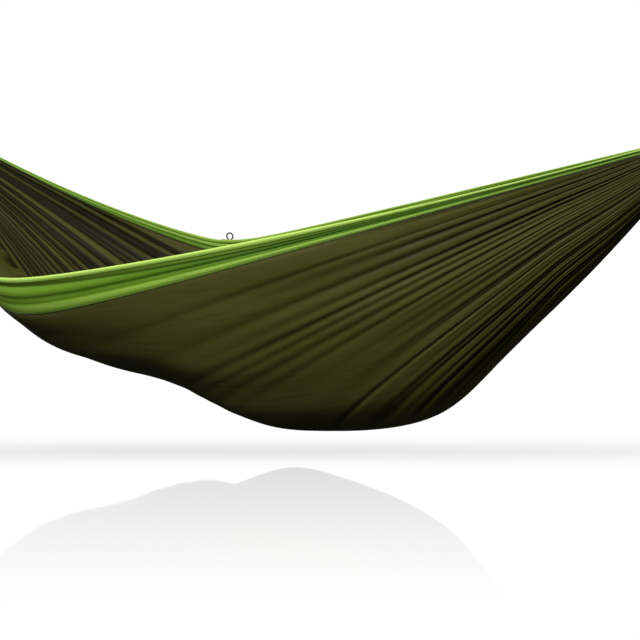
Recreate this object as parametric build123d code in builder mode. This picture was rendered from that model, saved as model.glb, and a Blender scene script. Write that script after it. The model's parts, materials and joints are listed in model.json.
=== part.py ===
from build123d import *
import math
import os

# Camping hammock: a dark centre cloth with two narrow side cloths, gathered at each end onto a rope
# loop that a steel carabiner clips. Millimetres, +Z up, +X from the left hang point to the right one,
# +Y towards the far edge. It is modelled about the middle of the line through the two points where
# the rope loops bear on their carabiners, the line it swings about. write() then moves each finished
# piece so that the origin is the left hang point, where a strap bears in the left carabiner.

# ---------------------------------------------------------------- driving dimensions
HANG_HALF_SPAN = 1395.0  # origin to the bearing point of a rope loop on its carabiner
PULL_ANGLE = 30.0  # pull of each end, above the horizontal
LOOP_REACH = 110.0  # sleeve channel to bearing point, along the pull
SLEEVE_REACH = 38.0  # sleeve channel back to the first plane of open cloth, along X

CLOTH = 2.0  # thickness of the cloth solids
SEAM_GAP = 1.6  # between neighbouring cloth solids
STATIONS = 40  # lofted bays along the cloth
SECTION_STEPS = 240  # steps that measure a section's length
THREAD_WIDTH = 1.6
THREAD_HEIGHT = 1.0
THREAD_CLEAR = 2.0  # thread rows stand this far off the cloth solids
SEAM_ROW = 3.0  # from a seam to its row of thread, on the side cloth
HEM_ROW = 4.0  # from an edge to its row of thread

NEAR_LOW = (-390.0, -580.0, -450.0)  # lowest point of the near edge
NEAR_SAG = (10.0, 28.0)  # sag of its left and right runs below straight lines to the gathers
FAR_LOW = (-410.0, 530.0, -477.0)  # lowest point of the far edge
FAR_SAG = (43.0, 0.0)
CORNER_ROUNDNESS = 0.06  # how softly an edge turns at its low point, as a share of its run
NEAR_BAND = 116.0  # height of the near side cloth at its low point
FAR_BAND = 44.0  # the same for the far side cloth, part of which is rolled over
GATHERED_BAND = 12.0  # height of both side cloths at the gathers
GATHER_HALF_WIDTH = 32.0  # half the width of the gathered cloth beside a sleeve
GATHER_SLOPE = 0.24  # fall of both edges along X beside a sleeve
FLANK = 0.85  # how far out the sides stay before they turn under

# The lowest line of the cloth, left to right, bellied by a load that lies a little off centre.
KEEL = [
    (-1262, -104),
    (-960, -424),
    (-740, -589),
    (-520, -664),
    (-300, -764),
    (-80, -808),
    (130, -896),
    (280, -895),
    (480, -863),
    (640, -798),
    (760, -678),
    (1000, -419),
    (1262, -104),
]

# Sections of the puckered sleeve, from the open cloth outwards: distance along the pull from the
# rope channel, half width and half height.
SLEEVE_SECTIONS = [(-37.0, 35.0, 31.0), (-20.0, 29.0, 24.0), (-4.0, 26.0, 18.0), (11.0, 24.0, 12.0)]
SLEEVE_ROUNDNESS = 0.8  # corner radius as a share of the half height
SLEEVE_THREAD_SECTION = 1  # the section that carries the sleeve's thread
SLEEVE_THREAD_CLEAR = 0.8

ROPE = 6.0  # rope diameter
ROPE_FIT = 0.5  # clearance round the rope in the sleeve
ROPE_BASE_HALF = 46.0
ROPE_TIP_RADIUS = 12.0
ROPE_CORNER_RADIUS = 16.0
KNOT_ALONG = 52.0  # the loop's knot, from the channel along the pull
KNOT_ACROSS = 30.0
KNOT_RADIUS = 8.0
TOUCH = 0.25  # gap left where chain-like parts bear on each other

ROD = 8.0  # carabiner stock
CARABINER_LENGTH = 80.0
CARABINER_WIDTH = 42.0
GATE_ROD = 7.6
GATE_PIVOT = -10.0  # along the carabiner, from its middle
GATE_NOSE = 13.0
GATE_END = 3.4  # the gate runs on this far past its rivet and its latch pin
BODY_END_GAP = 1.8  # between the gate's ends and the full rod of the body
TONGUE = 3.4  # thickness of the body's tongues inside the gate's forks
TONGUE_ROOT = 3.0  # how deep the tongues are rooted in the rod
FORK = 3.6  # width of the gate's fork slots
TONGUE_REACH = 2.9  # half size of the hinge tongue's square end
NOSE_TONGUE = 2.6  # half size and tip radius of the nose tongue
NOSE_TIP_AT = 1.2  # centre of that tip, back from the latch pin
HINGE_FORK = 4.6  # depth of the hinge fork past the rivet
NOSE_FORK = 4.3  # depth of the nose fork past the latch pin
RIVET = 2.4
RIVET_HEAD = 0.9  # how far the rivet's heads stand out round it, and their height
LATCH_PIN = 2.0
LATCH_NOTCH = 1.4  # half width of the nose notch that the latch pin enters
LATCH_NOTCH_TOP = 1.2  # top of that notch above the rod's middle
BORE = 4.2  # bore in the gate for its spring
SPRING_END = 6.0  # blind end of that bore, from the carabiner's middle
PIN_FIT = 0.05  # radial clearance of a running fit
PLUNGER_GAP = 0.1  # between the spring plunger and the hinge tongue
PLUNGER_HEAD = 3.0
PLUNGER_STEM = 4.0
GATE_WIRE = 0.45  # gate spring wire

CORD = 4.4  # stuff sack drawcord diameter
LEG_GAP = 1.2  # between the drawcord's two legs
ARCH_HALF = 12.4  # half width of the cord's standing arch
ARCH_TOP = 20.0  # its top, from the edge
ARCH_FOOT = 6.0  # where the legs have spread to the arch, from the edge
LEG_SPREAD = -4.0  # where the legs start to spread
CORD_BEND = 3.0  # centre-line radius of their bends
ARCH_ROUND = 8.0  # the same for the arch's shoulders
SACK_WIDTH = 168.0
SACK_HEIGHT = 185.0
SACK_THICKNESS = 12.0
SACK_NARROWING = 12.0  # each side is this much narrower at the mouth
SACK_CORNER = 26.0
MOUTH_CORNER = 6.0
SACK_EDGE_ROUND = 3.0
MOUTH_DROP = 46.0  # mouth of the sack below the edge
TAB_WIDTH = 42.0  # tab that is sewn to the far edge
TAB_THICKNESS = 1.6
TAB_AT = 3.0  # tab's inner face behind the edge
TAB_OVERLAP = 7.0  # of the tab on the sack, below its mouth
CORD_BEHIND_TAB = 15.0
LOCK_Z = -22.0  # cord lock's axis, from the edge
LOCK_RADIUS = 8.0
LOCK_BORE = 6.4
LOCK_LENGTH = 19.0
LOCK_FLOOR = 1.8
LOCK_CHAMFER = 0.8
LOCK_GAP = 0.6  # between the tab and the barrel
CORD_FIT = 0.15  # round the cord's legs in the lock
LOCK_WIRE = 0.8
BUTTON_WALL = 2.6
BUTTON_TRAVEL = 3.0
BUTTON_STANDS = 2.5  # what still stands out of the barrel when the button is pressed
BUTTON_ROUND = 1.2

# ---------------------------------------------------------------- places worked out from them
SIN = math.sin(math.radians(PULL_ANGLE))
COS = math.cos(math.radians(PULL_ANGLE))
CHANNEL_X = HANG_HALF_SPAN - LOOP_REACH * COS
CHANNEL_Z = -LOOP_REACH * SIN
CLOTH_END = CHANNEL_X - SLEEVE_REACH
EDGE_END_Z = CHANNEL_Z - GATHER_SLOPE * SLEEVE_REACH
CARABINER_AT = LOOP_REACH - TOUCH + CARABINER_LENGTH / 2 - ROD  # its middle, along the pull
HANG_AT = CARABINER_AT + CARABINER_LENGTH / 2 - ROD  # hang point, along the pull
ORIGIN = Location((CHANNEL_X + HANG_AT * COS, 0, -CHANNEL_Z - HANG_AT * SIN))

os.makedirs("parts", exist_ok=True)


def write(name, part):
    """Write one finished piece's STEP, labelled, with the left hang point as its origin."""
    placed = part.moved(ORIGIN)
    placed.label = name
    export_step(placed, f"parts/{name}.step")


# ---------------------------------------------------------------- the draped cloth
def run_down(t):
    """Height of an edge along its run: 1 at the low point, 0 at the gather, straight between."""
    top = math.hypot(1, CORNER_ROUNDNESS)
    return (top - math.hypot(t, CORNER_ROUNDNESS)) / (top - CORNER_ROUNDNESS)


def edge_point(x, low, sags, side):
    """Place of the near (side -1) or far (side +1) edge of the cloth at one x: y, z and run."""
    t = (x - low[0]) / (math.copysign(CLOTH_END, x - low[0]) - low[0])
    sag = sags[0] if x < low[0] else sags[1]
    run = run_down(t)
    end_y = side * GATHER_HALF_WIDTH
    y = end_y + (low[1] - end_y) * run
    z = EDGE_END_Z + (low[2] - EDGE_END_Z) * run - sag * 4 * t * (1 - t)
    return y, z, run


with BuildLine(Plane.XZ) as keel_line:
    Spline(*KEEL)


def keel_z(x):
    """Height of the keel at one x, found by halving along its spline."""
    low, high = 0.0, 1.0
    for _ in range(40):
        middle = (low + high) / 2
        if (keel_line.line @ middle).X < x:
            low = middle
        else:
            high = middle
    return (keel_line.line @ low).Z


def section(x):
    """The cloth's cross-section at one x: a cubic curve hung from both edges, and its length."""
    near_y, near_z, near_run = edge_point(x, NEAR_LOW, NEAR_SAG, -1)
    far_y, far_z, far_run = edge_point(x, FAR_LOW, FAR_SAG, 1)
    deep = (8 * keel_z(x) - near_z - far_z) / 6
    corners = [(near_y, near_z), (FLANK * near_y, deep), (FLANK * far_y, deep), (far_y, far_z)]

    def point(u):
        weights = ((1 - u) ** 3, 3 * u * (1 - u) ** 2, 3 * u * u * (1 - u), u**3)
        y = sum(w * c[0] for w, c in zip(weights, corners))
        z = sum(w * c[1] for w, c in zip(weights, corners))
        return y, z

    steps = [point(i / SECTION_STEPS) for i in range(SECTION_STEPS + 1)]
    length = sum(math.dist(a, b) for a, b in zip(steps, steps[1:]))
    near_band = GATHERED_BAND + (NEAR_BAND - GATHERED_BAND) * near_run**2
    far_band = GATHERED_BAND + (FAR_BAND - GATHERED_BAND) * far_run**2
    seams = {"near": near_band / length, "far": 1 - far_band / length}
    return point, length, seams


def cloth_u(point, length, share):
    """The curve value at a share of the section's length from the near edge."""
    if share <= 0 or share >= 1:
        return min(max(share, 0.0), 1.0)
    walked = 0.0
    last = point(0)
    for i in range(1, SECTION_STEPS + 1):
        here = point(i / SECTION_STEPS)
        stride = math.dist(last, here)
        if walked + stride >= share * length:
            return (i - 1 + (share * length - walked) / stride) / SECTION_STEPS
        walked += stride
        last = here
    return 1.0


def offset_point(point, u, rise):
    """A point of the section moved out of the cloth by rise; positive is the outer, lower side."""
    ahead = point(min(u + 0.002, 1.0))
    behind = point(max(u - 0.002, 0.0))
    heading = Vector(ahead[0] - behind[0], ahead[1] - behind[1]).normalized()
    here = point(u)
    return here[0] + heading.Y * rise, here[1] - heading.X * rise


def strip(start, stop, inner, outer, knots):
    """One cloth or one row of thread: a thin profile lofted along the hammock.

    start and stop are functions that give the strip's edges in a section as shares of its length;
    inner and outer are its faces, measured out from the middle of the cloth.
    """
    with BuildPart() as piece:
        for i in range(STATIONS + 1):
            x = -CLOTH_END + 2 * CLOTH_END * i / STATIONS
            point, length, seams = section(x)
            first = cloth_u(point, length, start(seams, length))
            last = cloth_u(point, length, stop(seams, length))
            values = [first + (last - first) * k / (knots - 1) for k in range(knots)]
            inside = [offset_point(point, u, inner) for u in values]
            outside = [offset_point(point, u, outer) for u in reversed(values)]
            with BuildSketch(Plane.YZ.offset(x)):
                with BuildLine():
                    for face in (inside, outside):
                        if knots > 2:
                            Spline(*face)
                        else:
                            Line(*face)
                    Line(inside[-1], outside[0])
                    Line(outside[-1], inside[0])
                make_face()
        loft()
    return piece.part


def make_cloths():
    half = CLOTH / 2
    gap = SEAM_GAP / 2
    write(
        "center_panel",
        strip(
            lambda seams, length: seams["near"] + gap / length,
            lambda seams, length: seams["far"] - gap / length,
            -half,
            half,
            11,
        ),
    )
    write(
        "near_side_panel",
        strip(
            lambda seams, length: 0.0,
            lambda seams, length: seams["near"] - gap / length,
            -half,
            half,
            4,
        ),
    )
    write(
        "far_side_panel",
        strip(
            lambda seams, length: seams["far"] + gap / length,
            lambda seams, length: 1.0,
            -half,
            half,
            4,
        ),
    )


def make_thread_rows():
    """Seam and hem thread: thin rows on the outer side, standing clear of the cloth solids."""
    under = CLOTH / 2 + THREAD_CLEAR
    over = under + THREAD_HEIGHT

    def row(place):
        return strip(
            lambda seams, length: place(seams, length) - THREAD_WIDTH / 2 / length,
            lambda seams, length: place(seams, length) + THREAD_WIDTH / 2 / length,
            under,
            over,
            2,
        )

    write("near_seam_stitching", row(lambda seams, length: seams["near"] - SEAM_ROW / length))
    write("far_seam_stitching", row(lambda seams, length: seams["far"] + SEAM_ROW / length))
    write("near_hem_stitching", row(lambda seams, length: HEM_ROW / length))
    write("far_hem_stitching", row(lambda seams, length: 1 - HEM_ROW / length))


make_cloths()
make_thread_rows()

# ---------------------------------------------------------------- end sleeves and their thread
pull_plane = Plane(
    origin=(CHANNEL_X, 0, CHANNEL_Z), x_dir=(0, 1, 0), z_dir=(COS, 0, SIN)
)  # square to the pull, through the rope channel; its x runs along the rope channel

with BuildPart() as right_end_sleeve:
    for reach, half_width, half_height in SLEEVE_SECTIONS:
        with BuildSketch(pull_plane.offset(reach)):
            RectangleRounded(2 * half_width, 2 * half_height, SLEEVE_ROUNDNESS * half_height)
    loft()
    with BuildSketch(Plane.XZ):
        with Locations((CHANNEL_X, CHANNEL_Z)):
            Circle(ROPE / 2 + ROPE_FIT)
    extrude(amount=2 * GATHER_HALF_WIDTH, both=True, mode=Mode.SUBTRACT)
    split(bisect_by=Plane.YZ.offset(CLOTH_END + SEAM_GAP))


def sleeve_ring(clearance, mode):
    """Outline of the sleeve's thread section, larger all round by a clearance."""
    half_width, half_height = SLEEVE_SECTIONS[SLEEVE_THREAD_SECTION][1:]
    RectangleRounded(
        2 * (half_width + clearance),
        2 * (half_height + clearance),
        SLEEVE_ROUNDNESS * half_height,
        mode=mode,
    )


with BuildPart() as right_end_stitching:
    with BuildSketch(pull_plane.offset(SLEEVE_SECTIONS[SLEEVE_THREAD_SECTION][0] - THREAD_WIDTH / 2)):
        sleeve_ring(SLEEVE_THREAD_CLEAR + THREAD_HEIGHT, Mode.ADD)
        sleeve_ring(SLEEVE_THREAD_CLEAR, Mode.SUBTRACT)
    extrude(amount=THREAD_WIDTH)

# ---------------------------------------------------------------- rope loop
# The loop lies in the plane of the pull and the Y axis: straight through the sleeve, then a teardrop
# whose tip wraps the carabiner's inner bow. It is tied with a knot on its near leg.
loop_plane = Plane(origin=(CHANNEL_X, 0, CHANNEL_Z), x_dir=(COS, 0, SIN), z_dir=(SIN, 0, -COS))
tip = LOOP_REACH + ROPE / 2
tip_center_radius = ROPE_TIP_RADIUS + ROPE / 2


def sharp_tip():
    """Distance to the unrounded tip of the teardrop, so that its rounded tip falls at tip."""
    reach = tip
    for _ in range(30):
        half_angle = math.atan2(ROPE_BASE_HALF, reach)
        reach = tip + tip_center_radius * (1 / math.sin(half_angle) - 1)
    return reach


with BuildPart() as right_rope_loop:
    with BuildLine(loop_plane) as rope_path:
        FilletPolyline(
            (0, ROPE_BASE_HALF),
            (sharp_tip(), 0),
            (0, -ROPE_BASE_HALF),
            radius=(ROPE_CORNER_RADIUS, tip_center_radius, ROPE_CORNER_RADIUS),
            close=True,
        )
    with BuildSketch(Plane(origin=rope_path.line @ 0, z_dir=rope_path.line % 0)):
        Circle(ROPE / 2)
    sweep()
    with Locations(loop_plane.from_local_coords(Vector(KNOT_ALONG, -KNOT_ACROSS, 0))):
        Sphere(KNOT_RADIUS)

# ---------------------------------------------------------------- carabiner
# Built in its own plane: x along the pull from its middle, y across it, gate on the upper side.
steel_plane = Plane(
    origin=(CHANNEL_X + CARABINER_AT * COS, 0, CHANNEL_Z + CARABINER_AT * SIN),
    x_dir=(COS, 0, SIN),
    z_dir=(0, -1, 0),
)
BOW = (CARABINER_WIDTH - ROD) / 2  # centre-line radius of both bows
BOW_AT = CARABINER_LENGTH / 2 - ROD / 2 - BOW


def across(x, y, radius, length):
    """A round bar or hole through the carabiner at right angles to its plane."""
    bar_plane = Plane(
        origin=steel_plane.from_local_coords(Vector(x, y, -length / 2)), z_dir=steel_plane.z_dir
    )
    with BuildPart() as bar:
        with BuildSketch(bar_plane):
            Circle(radius)
        extrude(amount=length)
    return bar.part


def along(x_from, x_to, y, radius):
    """A round bar or bore along the carabiner."""
    bar_plane = Plane(
        origin=steel_plane.from_local_coords(Vector(x_from, y, 0)), z_dir=steel_plane.x_dir
    )
    with BuildPart() as bar:
        with BuildSketch(bar_plane):
            Circle(radius)
        extrude(amount=x_to - x_from)
    return bar.part


def slab(x_from, x_to, y_from, y_to, thickness, round_end=0.0):
    """A plate in the carabiner's plane, centred on it, with the far end rounded if asked."""
    with BuildPart() as plate:
        with BuildSketch(steel_plane):
            with Locations(((x_from + x_to) / 2, (y_from + y_to) / 2)):
                Rectangle(abs(x_to - x_from), y_to - y_from)
            if round_end:
                with Locations((x_to, (y_from + y_to) / 2)):
                    Circle(round_end)
        extrude(amount=thickness / 2, both=True)
    return plate.part


hinge_end = GATE_PIVOT - GATE_END - BODY_END_GAP
nose_end = GATE_NOSE + GATE_END + BODY_END_GAP

with BuildPart() as right_carabiner_body:
    with BuildLine(steel_plane) as body_path:
        Line((hinge_end, BOW), (-BOW_AT, BOW))
        CenterArc((-BOW_AT, 0), BOW, 90, 180)
        Line((-BOW_AT, -BOW), (BOW_AT, -BOW))
        CenterArc((BOW_AT, 0), BOW, -90, 180)
        Line((BOW_AT, BOW), (nose_end, BOW))
    with BuildSketch(Plane(origin=body_path.line @ 0, z_dir=body_path.line % 0)):
        Circle(ROD / 2)
    sweep()
    # The hinge tongue, whose corner works the spring plunger, and the nose tongue with its notch.
    hinge_tongue = slab(
        hinge_end - TONGUE_ROOT,
        GATE_PIVOT + TONGUE_REACH,
        BOW - TONGUE_REACH,
        BOW + TONGUE_REACH,
        TONGUE,
    )
    nose_tongue = slab(
        nose_end + TONGUE_ROOT,
        GATE_NOSE - NOSE_TIP_AT,
        BOW - NOSE_TONGUE,
        BOW + NOSE_TONGUE,
        TONGUE,
        NOSE_TONGUE,
    )
    notch = slab(
        GATE_NOSE - LATCH_NOTCH,
        GATE_NOSE + LATCH_NOTCH,
        BOW - ROD / 2,
        BOW + LATCH_NOTCH_TOP,
        ROD,
    )
    add(hinge_tongue)
    add(nose_tongue)
    add(across(GATE_PIVOT, BOW, RIVET / 2 + PIN_FIT, ROD), mode=Mode.SUBTRACT)
    add(notch, mode=Mode.SUBTRACT)

with BuildPart() as right_carabiner_gate:
    hinge_fork = slab(hinge_end, GATE_PIVOT + HINGE_FORK, BOW - ROD, BOW + ROD, FORK)
    nose_fork = slab(GATE_NOSE - NOSE_FORK, nose_end, BOW - ROD, BOW + ROD, FORK)
    add(along(GATE_PIVOT - GATE_END, GATE_NOSE + GATE_END, BOW, GATE_ROD / 2))
    add(hinge_fork, mode=Mode.SUBTRACT)
    add(nose_fork, mode=Mode.SUBTRACT)
    add(across(GATE_PIVOT, BOW, RIVET / 2, ROD), mode=Mode.SUBTRACT)
    add(across(GATE_NOSE, BOW, LATCH_PIN / 2, ROD), mode=Mode.SUBTRACT)
    add(along(GATE_PIVOT, SPRING_END, BOW, BORE / 2), mode=Mode.SUBTRACT)

with BuildPart() as right_gate_rivet:
    add(across(GATE_PIVOT, BOW, RIVET / 2, GATE_ROD + 4 * TOUCH))
    for side in (-1, 1):
        head_at = side * (GATE_ROD / 2 + TOUCH)
        head_plane = Plane(
            origin=steel_plane.from_local_coords(Vector(GATE_PIVOT, BOW, head_at)),
            z_dir=steel_plane.z_dir * side,
        )
        with BuildSketch(head_plane):
            Circle(RIVET / 2 + RIVET_HEAD)
        extrude(amount=RIVET_HEAD, taper=20)

with BuildPart() as right_latch_pin:
    add(across(GATE_NOSE, BOW, LATCH_PIN / 2, GATE_ROD - 2 * TOUCH))

plunger_face = GATE_PIVOT + TONGUE_REACH + PLUNGER_GAP
spring_from = plunger_face + PLUNGER_HEAD

with BuildPart() as right_spring_plunger:
    add(along(plunger_face, spring_from, BOW, BORE / 2 - PIN_FIT))
    add(along(spring_from, spring_from + PLUNGER_STEM, BOW, BORE / 2 - 2.5 * GATE_WIRE))


def coil(origin, direction, length, turns, radius, wire):
    """A compression spring: a round wire on a helix."""
    with BuildPart() as spring:
        with BuildLine() as helix:
            Helix(pitch=length / turns, height=length, radius=radius, center=origin, direction=direction)
        with BuildSketch(Plane(origin=helix.line @ 0, z_dir=helix.line % 0)):
            Circle(wire / 2)
        sweep(is_frenet=True)
    return spring.part


right_gate_spring = coil(
    steel_plane.from_local_coords(Vector(spring_from + GATE_WIRE, BOW, 0)),
    steel_plane.x_dir,
    SPRING_END - spring_from - 2 * GATE_WIRE,
    6,
    BORE / 2 - GATE_WIRE - PIN_FIT,
    GATE_WIRE,
)

# ---------------------------------------------------------------- stuff sack and its cord lock
# The sack hangs outside the far edge's low point. Its tab is sewn on there, and it swings about
# that line. The drawcord stands up behind the edge from the sack's mouth, through the cord lock.
SACK_X, SACK_EDGE_Y, SACK_EDGE_Z = FAR_LOW
TAB_Y = SACK_EDGE_Y + TAB_AT
CORD_Y = TAB_Y + CORD_BEHIND_TAB


def sack_plane(y):
    """A plane facing away from the hammock, with its origin on the far edge's low point."""
    return Plane(origin=(SACK_X, y, SACK_EDGE_Z), x_dir=(-1, 0, 0), z_dir=(0, 1, 0))


with BuildPart() as stuff_sack:
    with BuildSketch(sack_plane(CORD_Y - SACK_THICKNESS / 2)):
        with BuildLine():
            FilletPolyline(
                (-SACK_WIDTH / 2 + SACK_NARROWING, -MOUTH_DROP),
                (-SACK_WIDTH / 2, -MOUTH_DROP - SACK_HEIGHT),
                (SACK_WIDTH / 2, -MOUTH_DROP - SACK_HEIGHT),
                (SACK_WIDTH / 2 - SACK_NARROWING, -MOUTH_DROP),
                radius=(MOUTH_CORNER, SACK_CORNER, SACK_CORNER, MOUTH_CORNER),
                close=True,
            )
        make_face()
    extrude(amount=SACK_THICKNESS)
    sides = stuff_sack.edges().filter_by(GeomType.CIRCLE, reverse=True).filter_by(Plane.XZ)
    fillet(sides, SACK_EDGE_ROUND)
    with BuildSketch(sack_plane(TAB_Y)):
        with Locations((0, -(MOUTH_DROP + TAB_OVERLAP) / 2)):
            Rectangle(TAB_WIDTH, MOUTH_DROP + TAB_OVERLAP)
    extrude(amount=TAB_THICKNESS)
    with BuildSketch(sack_plane(TAB_Y)):
        with Locations((0, -MOUTH_DROP - TAB_OVERLAP / 2)):
            Rectangle(TAB_WIDTH, TAB_OVERLAP)
    extrude(amount=CORD_BEHIND_TAB)
write("stuff_sack", stuff_sack.part)

leg_at = (CORD + LEG_GAP) / 2  # half the spacing of the cord's two legs
leg_end = -MOUTH_DROP + TOUCH

with BuildPart() as sack_drawcord:
    with BuildLine(sack_plane(CORD_Y)) as cord_path:
        FilletPolyline(
            (-leg_at, leg_end),
            (-leg_at, LEG_SPREAD),
            (-ARCH_HALF, ARCH_FOOT),
            (-ARCH_HALF, ARCH_TOP),
            (ARCH_HALF, ARCH_TOP),
            (ARCH_HALF, ARCH_FOOT),
            (leg_at, LEG_SPREAD),
            (leg_at, leg_end),
            radius=(CORD_BEND, CORD_BEND, ARCH_ROUND, ARCH_ROUND, CORD_BEND, CORD_BEND),
        )
    with BuildSketch(Plane(origin=cord_path.line @ 0, z_dir=cord_path.line % 0)):
        Circle(CORD / 2)
    sweep()
write("sack_drawcord", sack_drawcord.part)

# The lock's barrel points away from the hammock. Its button slides in it and squeezes the cord.
lock_plane = Plane(
    origin=(SACK_X, TAB_Y + TAB_THICKNESS + LOCK_GAP, SACK_EDGE_Z + LOCK_Z), z_dir=(0, 1, 0)
)
cord_depth = CORD_Y - lock_plane.origin.Y


def cord_slot(extra):
    """The passage of the cord's two legs through the lock, longer along the barrel by extra."""
    with BuildPart() as slot:
        with BuildSketch(Plane.XY.offset(lock_plane.origin.Z - LOCK_RADIUS)):
            with Locations((SACK_X, CORD_Y + extra / 2)):
                Rectangle(2 * leg_at + CORD + 2 * CORD_FIT, CORD + 2 * CORD_FIT + extra)
        extrude(amount=2 * LOCK_RADIUS)
    return slot.part


with BuildPart() as cord_lock_barrel:
    with BuildSketch(lock_plane):
        Circle(LOCK_RADIUS)
    extrude(amount=LOCK_LENGTH)
    chamfer(cord_lock_barrel.edges().filter_by(GeomType.CIRCLE), LOCK_CHAMFER)
    with BuildSketch(lock_plane.offset(LOCK_FLOOR)):
        Circle(LOCK_BORE)
    extrude(amount=LOCK_LENGTH, mode=Mode.SUBTRACT)
    add(cord_slot(0), mode=Mode.SUBTRACT)
write("cord_lock_barrel", cord_lock_barrel.part)

button_from = cord_depth - CORD / 2 - CORD_FIT - BUTTON_WALL
button_to = LOCK_LENGTH + BUTTON_TRAVEL + BUTTON_STANDS
with BuildPart() as cord_lock_button:
    with BuildSketch(lock_plane.offset(button_from)):
        Circle(LOCK_BORE - PIN_FIT)
    extrude(amount=button_to - button_from)
    fillet(cord_lock_button.edges().filter_by(GeomType.CIRCLE).sort_by(Axis.Y)[-1], BUTTON_ROUND)
    add(cord_slot(BUTTON_TRAVEL), mode=Mode.SUBTRACT)
write("cord_lock_button", cord_lock_button.part)

cord_lock_spring = coil(
    lock_plane.offset(LOCK_FLOOR + LOCK_WIRE).origin,
    (0, 1, 0),
    button_from - LOCK_FLOOR - 2 * LOCK_WIRE,
    3,
    LOCK_BORE - 1.5 * LOCK_WIRE,
    LOCK_WIRE,
)
write("cord_lock_spring", cord_lock_spring)

# ---------------------------------------------------------------- the left end mirrors the right
END_PIECES = {
    "end_sleeve": right_end_sleeve.part,
    "end_stitching": right_end_stitching.part,
    "rope_loop": right_rope_loop.part,
    "carabiner_body": right_carabiner_body.part,
    "carabiner_gate": right_carabiner_gate.part,
    "gate_rivet": right_gate_rivet.part,
    "latch_pin": right_latch_pin.part,
    "spring_plunger": right_spring_plunger.part,
    "gate_spring": right_gate_spring,
}
for piece_name, right_piece in END_PIECES.items():
    with BuildPart() as left_piece:
        mirror(right_piece, about=Plane.YZ)
    write(f"right_{piece_name}", right_piece)
    write(f"left_{piece_name}", left_piece.part)
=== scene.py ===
import json
import math

import bpy
import numpy as np
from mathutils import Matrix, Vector


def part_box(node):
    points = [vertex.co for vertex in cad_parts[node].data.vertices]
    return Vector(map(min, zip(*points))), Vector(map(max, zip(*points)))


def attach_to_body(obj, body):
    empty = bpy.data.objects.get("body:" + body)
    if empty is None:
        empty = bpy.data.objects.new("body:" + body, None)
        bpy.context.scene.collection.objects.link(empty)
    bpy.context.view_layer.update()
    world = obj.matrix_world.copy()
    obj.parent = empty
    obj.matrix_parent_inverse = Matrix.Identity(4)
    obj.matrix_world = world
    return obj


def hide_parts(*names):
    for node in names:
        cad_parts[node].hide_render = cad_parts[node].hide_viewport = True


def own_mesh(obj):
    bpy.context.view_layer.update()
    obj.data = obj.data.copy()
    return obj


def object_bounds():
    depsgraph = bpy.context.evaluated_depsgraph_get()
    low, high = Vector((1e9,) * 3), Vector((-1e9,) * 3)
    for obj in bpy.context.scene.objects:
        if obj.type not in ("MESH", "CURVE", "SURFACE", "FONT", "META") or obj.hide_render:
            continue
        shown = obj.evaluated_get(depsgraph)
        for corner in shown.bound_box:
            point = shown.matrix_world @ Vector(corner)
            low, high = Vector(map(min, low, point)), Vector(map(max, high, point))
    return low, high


# The camping hammock's looks, in metres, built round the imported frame. The cloth is rebuilt finely on
# rails read out of the CAD cloth solids, then pleated, hemmed and stitched.

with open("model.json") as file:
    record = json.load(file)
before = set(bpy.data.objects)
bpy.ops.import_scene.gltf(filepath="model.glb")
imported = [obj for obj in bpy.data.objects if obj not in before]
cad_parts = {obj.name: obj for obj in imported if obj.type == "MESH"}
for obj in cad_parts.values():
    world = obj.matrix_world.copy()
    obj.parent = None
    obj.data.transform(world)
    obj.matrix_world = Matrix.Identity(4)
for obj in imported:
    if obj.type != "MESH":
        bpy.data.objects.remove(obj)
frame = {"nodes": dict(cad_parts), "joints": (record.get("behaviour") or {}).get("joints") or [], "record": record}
cad_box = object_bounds()

# ---- named values, metres
ROWS = 300  # cloth rows from sleeve to sleeve
CENTER_COLUMNS = 560
BAND_COLUMNS = 44
FLANK = 0.85  # how far out the cloth's sides stay before they turn under, as in the CAD section
CLOTH_WIDTH = 1.95  # flat width of the sewn cloth, for its weave
THICK_CLOTH = 0.0008  # side cloths, which are doubled at their hems
LAP = 0.006  # how far the centre cloth runs under a side cloth at a seam

HEM = 0.014  # width of the rolled edge hem
HEM_FULL_BAND = 0.05  # a side cloth narrower than this, near a gather, has a narrower hem too
HEM_LEAST = 0.25  # the narrowest hem, as a share of its full width
STITCH = 0.0042
STITCH_PITCH = 0.0062
THREAD_WIDTH = 0.0011

SIDES = {"left": -1, "right": 1}  # the ends, with their direction along X

joints = {joint["name"]: joint for joint in frame["joints"]}
mounts = {mount["name"]: mount for mount in frame["record"]["mounts"]}


# ---- small helpers
def smoothstep(low, high, value):
    """0 up to low, 1 from high on, and a smooth step between them."""
    t = np.clip((value - low) / (high - low), 0, 1)
    return t * t * (3 - 2 * t)


def unit(vectors):
    """The vectors, each at length 1."""
    return vectors / np.maximum(np.linalg.norm(vectors, axis=-1, keepdims=True), 1e-9)


def circle(count):
    """Angles spaced evenly round a circle."""
    return np.linspace(0, 2 * math.pi, count, endpoint=False)


def walk(points):
    """How far along the polyline each of its points is."""
    return np.concatenate([[0], np.cumsum(np.linalg.norm(np.diff(points, axis=0), axis=1))])


def new_object(name, data):
    """An object in the scene that shows some mesh, light or camera data."""
    obj = bpy.data.objects.new(name, data)
    bpy.context.scene.collection.objects.link(obj)
    return obj


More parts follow.
